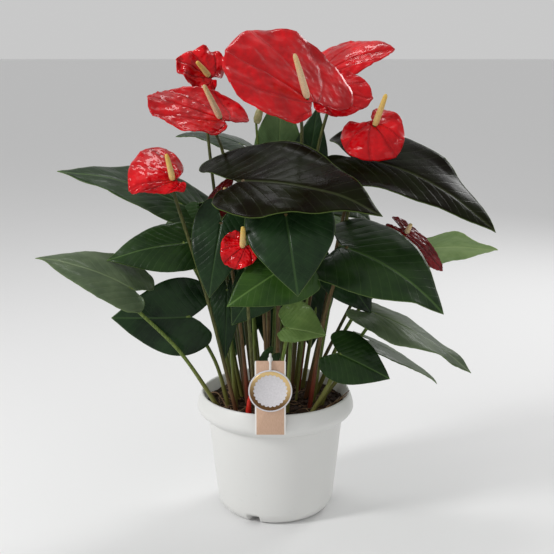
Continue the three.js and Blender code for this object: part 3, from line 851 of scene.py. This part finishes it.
def makeBuds():
    sheath = bmesh.new()
    spun(sheath, sheathShape["profile"], 28)
    for vert in sheath.verts:
        lean = (vert.co.z / mm / sheathShape["height"]) ** 2 * sheathShape["lean"] * mm
        vert.co += Vector(sheathShape["at"]) * mm + Vector((lean, 0, 0))
    piece("red_sheath", sheath, (spatheFinishes["bud"],), ("young_sheath",))
    for name, spec in budShapes.items():
        bud = bmesh.new()
        size, wide = spec["length"], spec["radius"]
        spun(bud, ((0, 0), (wide * 0.7, size * 0.04), (wide, size * 0.22), (wide * 0.95, size * 0.5),
                   (wide * 0.6, size * 0.8), (wide * 0.2, size * 0.97), (0, size)), 24)
        turn = Vector((0, 0, 1)).rotation_difference(Vector(spec["rise"]))
        for vert in bud.verts:
            fold = 1 + 0.1 * math.cos(math.atan2(vert.co.y, vert.co.x) * 3 + vert.co.z / mm * 0.3)
            folded = Vector((vert.co.x * fold, vert.co.y * fold, vert.co.z))
            vert.co = turn @ folded + Vector(spec["at"]) * mm
        for face in bud.faces:
            face.material_index = 1
        at = Vector(spec["at"])
        foot = Vector((*spec["foot"], stemLook["bottom"]))
        bend = foot.lerp(at, 0.5) + Vector((3, 4, 20))
        tubeInto(bud, [foot, bend, at + Vector((0, 0, 0.6))], (1.6, 1.3, 1.3), 24, 2)
        piece(name, bud, (stemFinishes["green"], spatheFinishes[spec["finish"]]))


makeBuds()
print("buds made")


cardShape = {"corner": 1.2, "edge": 0.12, "badgeRadius": 22, "badgeThick": 1.6, "badgeZ": 161,
             "ringWide": 4.6, "scallops": 24, "scallopDepth": 1.3}
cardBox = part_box("plant_card")
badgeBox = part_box("badge")


def makeCard():
    low, high = Vector(cardBox[0]), Vector(cardBox[1])
    sheet = bmesh.new()
    bmesh.ops.create_cube(sheet, size=1.0)
    for vert in sheet.verts:
        vert.co = (low + high) / 2 + Vector([c * s for c, s in zip(vert.co, high - low)])
    uprightCorners = [e for e in sheet.edges if abs(e.verts[0].co.y - e.verts[1].co.y) > 1e-5]
    bmesh.ops.bevel(sheet, geom=uprightCorners, offset=cardShape["corner"] * mm, affect="EDGES", segments=4,
                    profile=0.5, material=-1)
    bmesh.ops.bevel(sheet, geom=sheet.edges[:], offset=cardShape["edge"] * mm, affect="EDGES", segments=2,
                    profile=0.5, material=-1)
    piece("card_sheet", sheet, (finish("cardBoard", {"Specular IOR Level": 0.3}, cardPaint),),
          ("plant_card",))

    centre = (Vector(badgeBox[0]) + Vector(badgeBox[1])) / 2
    back = cardShape["badgeThick"] / 2
    r = cardShape["badgeRadius"]
    disc = bmesh.new()
    spun(disc, ((0, -back), (r - 0.4, -back), (r, -back + 0.3), (r, back - 0.4), (r - 0.3, back - 0.15),
                (r - 1.3, back - 0.15), (r - 1.5, back - 0.35), (0, back - 0.35)), 96)
    ring = bmesh.new()
    inner = r - 1.5 - cardShape["ringWide"]
    spun(ring, ((inner, back - 0.5), (r - 1.5, back - 0.5), (r - 1.5, back - 0.12), (r - 2.1, back),
                (inner + 0.5, back), (inner, back - 0.12), (inner, back - 0.5)), 240)
    for vert in ring.verts:
        flat = Vector((vert.co.x, vert.co.y, 0))
        if flat.length < (inner + 0.8) * mm:
            angle = math.atan2(vert.co.y, vert.co.x)
            scallop = abs(math.cos(angle * cardShape["scallops"] / 2))
            vert.co += flat.normalized() * cardShape["scallopDepth"] * mm * scallop
    for made in (disc, ring):
        for vert in made.verts:
            x, y, z = vert.co
            vert.co = centre + Vector((x, -z, y))
        bmesh.ops.recalc_face_normals(made, faces=made.faces)
    piece("badge_disc", disc, (finish("badgeCard", {"Specular IOR Level": 0.5}, badgePaint),),
          ("badge",))
    piece("badge_ring", ring, (finish("badgeFoil", {"Metallic": 0.75}, foilPaint),))

    pin = bmesh.new()
    x = centre.x / mm
    front = centre.y / mm - back
    pinWay = ((x, front + 0.4, cardShape["badgeZ"] + r + 0.6), (x, front + 0.2, 190),
              (x, -86.8, 195.6), (x, -83.4, 191), (x, -68, 118))
    tubeInto(pin, [Vector(p) for p in pinWay], (1.2, 1.2, 1.3, 1.3, 1.1), 40, 3)
    knob = bmesh.new()
    spun(knob, ((0, 0), (2.0, 0.2), (2.4, 1.4), (2.4, 3.6), (1.7, 5.0), (0, 5.6)), 28, (x, -86.4, 190.6))
    held = bpy.data.meshes.new("knob")
    knob.to_mesh(held)
    knob.free()
    pin.from_mesh(held)
    bpy.data.meshes.remove(held)
    piece("peg_pin", pin, (finish("pegPlastic", {"Specular IOR Level": 0.5}, potPaint),),
          ("peg",))


makeCard()
print("card, badge and peg made")


studio = {"floor": 30.0, "world": 0.58, "middle": (0, 0, 0.28),
          "cameraAt": (0.0017, -1.055, 0.501), "cameraTilt": 77, "lens": 66.15, "sensor": 36}
# where each light stands, its width and height, and its power
lights = {
    "key": ((-1.4, -0.7, 1.1), (0.3, 0.6), 15.0),
    "fill": ((1.2, -1.3, 0.5), (0.7, 0.9), 1.5),
    "back": ((1.0, 1.1, 1.0), (0.6, 0.5), 6.0),
    "top": ((-0.1, 0.5, 1.6), (0.5, 0.2), 3.0),
}


def areaLight(name, place, target, size, power):
    data = bpy.data.lights.new(name, "AREA")
    data.shape = "RECTANGLE"
    data.size, data.size_y = size
    data.energy = power
    lamp = bpy.data.objects.new(name, data)
    lamp.location = place
    lamp.rotation_euler = (Vector(target) - Vector(place)).to_track_quat("-Z", "Y").to_euler()
    bpy.context.scene.collection.objects.link(lamp)


def makeStudio():
    ground = bmesh.new()
    bmesh.ops.create_grid(ground, x_segments=1, y_segments=1, size=studio["floor"])
    data = bpy.data.meshes.new("floor")
    ground.to_mesh(data)
    ground.free()
    floor = bpy.data.objects.new("floor", data)
    data.materials.append(finish("floorPaper", {"Base Color": (0.82, 0.82, 0.82), "Roughness": 0.7},
                                 lambda graph: {}))
    bpy.context.scene.collection.objects.link(floor)

    world = bpy.data.worlds.new("studio")
    world.use_nodes = True
    sky = world.node_tree.nodes["Background"]
    sky.inputs["Color"].default_value = (1.0, 1.0, 1.0, 1.0)
    sky.inputs["Strength"].default_value = studio["world"]
    bpy.context.scene.world = world
    bpy.context.scene.view_settings.view_transform = "Standard"

    for name, (place, size, power) in lights.items():
        areaLight(name, place, studio["middle"], size, power)

    lens = bpy.data.cameras.new("camera")
    lens.lens = studio["lens"]
    lens.sensor_width = studio["sensor"]
    camera = bpy.data.objects.new("camera", lens)
    camera.location = studio["cameraAt"]
    camera.rotation_euler = (math.radians(studio["cameraTilt"]), 0, 0)
    bpy.context.scene.collection.objects.link(camera)
    bpy.context.scene.camera = camera


makeStudio()
print("studio made")
